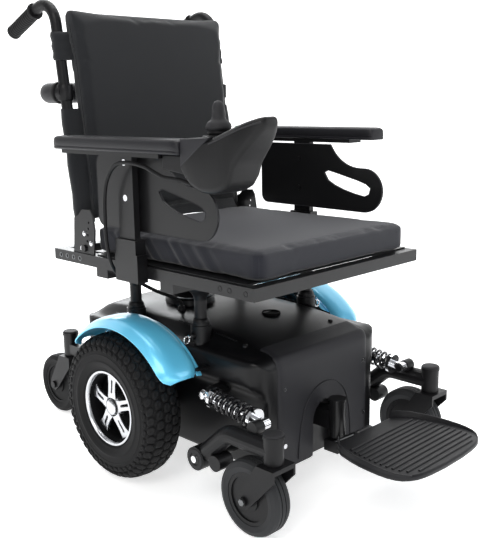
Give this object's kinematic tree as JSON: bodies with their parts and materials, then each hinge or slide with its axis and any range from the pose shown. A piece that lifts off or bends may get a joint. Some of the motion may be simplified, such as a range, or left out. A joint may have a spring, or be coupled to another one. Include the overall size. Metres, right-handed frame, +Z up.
{
  "type": "power wheelchair",
  "caption": "Powered wheelchair with centre drive wheels, sprung front casters, rear casters, moulded base, cushioned seat, reclining back, height-adjusting armrests and a joystick pod.",
  "frame": {"origin": "middle of the bounding box in plan, on the floor", "axes": "+X the user's left, +Y backwards, +Z up"},
  "size_m": [0.636, 1.157, 1.0285],
  "materials": {
    "frame_black": "satin black powder coat",
    "battery_case": "matt moulded case",
    "motor_black": "satin",
    "shell_black": "semi-gloss moulding",
    "cover_charcoal": "satin moulding",
    "fender_blue": "metallic sky blue",
    "bolt_steel": "bright",
    "tyre_black": "dull black with treads",
    "rim_silver": "bright silver",
    "caster_grey": "grey, ribbed",
    "hub_black": "satin",
    "chrome": "polished",
    "spring_black": "gloss black",
    "footplate_charcoal": "textured moulding",
    "cushion_fabric": "charcoal upholstery",
    "pad_vinyl": "charcoal padded vinyl",
    "grip_rubber": "ribbed",
    "pod_plastic": "semi-gloss moulding",
    "button_green": "gloss",
    "button_amber": "gloss",
    "cable_black": "matt"
  },
  "bodies": {
    "base": {"chassis_frame": "frame_black", "batteries": "battery_case", "control_module": "motor_black", "drive_unit_right": "motor_black", "drive_unit_left": "motor_black", "body_shell": "shell_black", "front_cover": "cover_charcoal", "fender_right": "fender_blue", "fender_left": "fender_blue", "rear_caster_arms": "frame_black", "column_sockets": "frame_black", "base_fasteners": "bolt_steel"},
    "drive_wheel_right": {"drive_tyre_right": "tyre_black", "drive_rim_right": "rim_silver"},
    "front_link_right": {"front_arm_right": "frame_black"},
    "front_caster_right": {"front_fork_right": "frame_black"},
    "front_wheel_right": {"front_tyre_right": "caster_grey", "front_hub_right": "hub_black"},
    "shock_upper_right": {"shock_body_right": "chrome", "shock_spring_right": "spring_black"},
    "shock_lower_right": {"shock_rod_right": "chrome"},
    "rear_caster_right": {"rear_fork_right": "frame_black"},
    "rear_roller_right": {"rear_wheel_right": "tyre_black"},
    "pin_right": {"seat_pin_right": "chrome"},
    "armrest_right": {"armrest_post_right": "frame_black", "side_guard_right": "frame_black", "arm_pad_right": "pad_vinyl", "pod_housing": "pod_plastic", "control_cable_upper": "cable_black"},
    "drive_wheel_left": {"drive_tyre_left": "tyre_black", "drive_rim_left": "rim_silver"},
    "front_link_left": {"front_arm_left": "frame_black"},
    "front_caster_left": {"front_fork_left": "frame_black"},
    "front_wheel_left": {"front_tyre_left": "caster_grey", "front_hub_left": "hub_black"},
    "shock_upper_left": {"shock_body_left": "chrome", "shock_spring_left": "spring_black"},
    "shock_lower_left": {"shock_rod_left": "chrome"},
    "rear_caster_left": {"rear_fork_left": "frame_black"},
    "rear_roller_left": {"rear_wheel_left": "tyre_black"},
    "pin_left": {"seat_pin_left": "chrome"},
    "armrest_left": {"armrest_post_left": "frame_black", "side_guard_left": "frame_black", "arm_pad_left": "pad_vinyl"},
    "footrest": {"footrest_post": "frame_black"},
    "footplate_flap": {"footplate": "footplate_charcoal"},
    "seat": {"seat_frame": "frame_black", "seat_pan": "frame_black", "seat_columns": "frame_black", "seat_cushion": "cushion_fabric", "back_brackets": "frame_black", "control_cable_lower": "cable_black"},
    "gimbal": {"joystick_gimbal": "motor_black"},
    "stick": {"joystick": "cover_charcoal"},
    "power_key": {"power_button": "button_green"},
    "horn_key": {"horn_button": "button_amber"},
    "back": {"back_canes": "frame_black", "push_grips": "grip_rubber", "back_bar": "pad_vinyl", "back_upholstery": "cushion_fabric"}
  },
  "joints": [
    {"name": "drive_spin_right", "type": "hinge", "parent": "base", "child": "drive_wheel_right", "pos_m": [-0.27, 0.0765, 0.16], "axis": [1, 0, 0], "continuous": true},
    {"name": "front_arm_right", "type": "hinge", "parent": "base", "child": "front_link_right", "pos_m": [-0.258, -0.1685, 0.111], "axis": [-1, 0, 0], "range_deg": [-4, 10], "stiffness_Nm_per_rad": 100, "springref_deg": -7.45},
    {"name": "front_swivel_right", "type": "hinge", "parent": "front_link_right", "child": "front_caster_right", "pos_m": [-0.258, -0.3615, 0.17], "axis": [0, 0, 1], "continuous": true},
    {"name": "front_roll_right", "type": "hinge", "parent": "front_caster_right", "child": "front_wheel_right", "pos_m": [-0.258, -0.3125, 0.075], "axis": [1, 0, 0], "continuous": true},
    {"name": "shock_tilt_right", "type": "hinge", "parent": "base", "child": "shock_upper_right", "pos_m": [-0.225, -0.1485, 0.227], "axis": [-1, 0, 0], "range_deg": [-3.4, 8.4]},
    {"name": "shock_stroke_right", "type": "slide", "parent": "shock_upper_right", "child": "shock_lower_right", "axis": [0, -0.9921, -0.1256], "range_m": [-0.0215, 0.009], "deforming": ["shock_spring_right"]},
    {"name": "rear_swivel_right", "type": "hinge", "parent": "base", "child": "rear_caster_right", "pos_m": [-0.15, 0.4515, 0.19], "axis": [0, 0, 1], "continuous": true},
    {"name": "rear_roll_right", "type": "hinge", "parent": "rear_caster_right", "child": "rear_roller_right", "pos_m": [-0.15, 0.5015, 0.077], "axis": [1, 0, 0], "continuous": true},
    {"name": "pin_pull_right", "type": "slide", "parent": "base", "child": "pin_right", "axis": [-1, 0, 0], "range_m": [0, 0.007], "stiffness_N_per_m": 800, "springref_m": -0.003},
    {"name": "drive_spin_left", "type": "hinge", "parent": "base", "child": "drive_wheel_left", "pos_m": [0.27, 0.0765, 0.16], "axis": [1, 0, 0], "continuous": true},
    {"name": "front_arm_left", "type": "hinge", "parent": "base", "child": "front_link_left", "pos_m": [0.258, -0.1685, 0.111], "axis": [-1, 0, 0], "range_deg": [-4, 10], "stiffness_Nm_per_rad": 100, "springref_deg": -7.45},
    {"name": "front_swivel_left", "type": "hinge", "parent": "front_link_left", "child": "front_caster_left", "pos_m": [0.258, -0.3615, 0.17], "axis": [0, 0, 1], "continuous": true},
    {"name": "front_roll_left", "type": "hinge", "parent": "front_caster_left", "child": "front_wheel_left", "pos_m": [0.258, -0.3125, 0.075], "axis": [1, 0, 0], "continuous": true},
    {"name": "shock_tilt_left", "type": "hinge", "parent": "base", "child": "shock_upper_left", "pos_m": [0.225, -0.1485, 0.227], "axis": [-1, 0, 0], "range_deg": [-3.4, 8.4]},
    {"name": "shock_stroke_left", "type": "slide", "parent": "shock_upper_left", "child": "shock_lower_left", "axis": [0, -0.9921, -0.1256], "range_m": [-0.0215, 0.009], "deforming": ["shock_spring_left"]},
    {"name": "rear_swivel_left", "type": "hinge", "parent": "base", "child": "rear_caster_left", "pos_m": [0.15, 0.4515, 0.19], "axis": [0, 0, 1], "continuous": true},
    {"name": "rear_roll_left", "type": "hinge", "parent": "rear_caster_left", "child": "rear_roller_left", "pos_m": [0.15, 0.5015, 0.077], "axis": [1, 0, 0], "continuous": true},
    {"name": "pin_pull_left", "type": "slide", "parent": "base", "child": "pin_left", "axis": [1, 0, 0], "range_m": [0, 0.007], "stiffness_N_per_m": 800, "springref_m": -0.003},
    {"name": "footrest_height", "type": "slide", "parent": "base", "child": "footrest", "axis": [0, 0, 1], "range_m": [-0.035, 0]},
    {"name": "footplate_flip", "type": "hinge", "parent": "footrest", "child": "footplate_flap", "pos_m": [0, -0.3705, 0.138], "axis": [-1, 0, 0], "range_deg": [0, 85]},
    {"name": "seat_height", "type": "slide", "parent": "base", "child": "seat", "axis": [0, 0, 1], "range_m": [0, 0.05], "deforming": ["control_cable_lower"]},
    {"name": "armrest_height_right", "type": "slide", "parent": "seat", "child": "armrest_right", "axis": [0, 0, 1], "range_m": [0, 0.06], "deforming": ["control_cable_upper"]},
    {"name": "armrest_height_left", "type": "slide", "parent": "seat", "child": "armrest_left", "axis": [0, 0, 1], "range_m": [0, 0.06]},
    {"name": "stick_pitch", "type": "hinge", "parent": "armrest_right", "child": "gimbal", "pos_m": [-0.262, -0.2395, 0.722], "axis": [1, 0, 0], "range_deg": [-15, 15], "stiffness_Nm_per_rad": 0.8},
    {"name": "stick_roll", "type": "hinge", "parent": "gimbal", "child": "stick", "pos_m": [-0.262, -0.2395, 0.722], "axis": [0, 1, 0], "range_deg": [-15, 15], "stiffness_Nm_per_rad": 0.8},
    {"name": "power_press", "type": "slide", "parent": "armrest_right", "child": "power_key", "axis": [0, -0.3404, -0.9403], "range_m": [0, 0.0015], "stiffness_N_per_m": 600, "springref_m": -0.001},
    {"name": "horn_press", "type": "slide", "parent": "armrest_right", "child": "horn_key", "axis": [0, -0.3404, -0.9403], "range_m": [0, 0.0015], "stiffness_N_per_m": 600, "springref_m": -0.001},
    {"name": "back_recline", "type": "hinge", "parent": "seat", "child": "back", "pos_m": [0, 0.2095, 0.486], "axis": [-1, 0, 0], "range_deg": [-6, 25]}
  ],
  "couplings": [
    {"joint": "shock_tilt_right", "follows": "front_arm_right", "ratio": 0.80677},
    {"joint": "shock_stroke_right", "follows": "front_arm_right", "m_per_rad": -0.11387},
    {"joint": "shock_tilt_left", "follows": "front_arm_left", "ratio": 0.80677},
    {"joint": "shock_stroke_left", "follows": "front_arm_left", "m_per_rad": -0.11387}
  ]
}
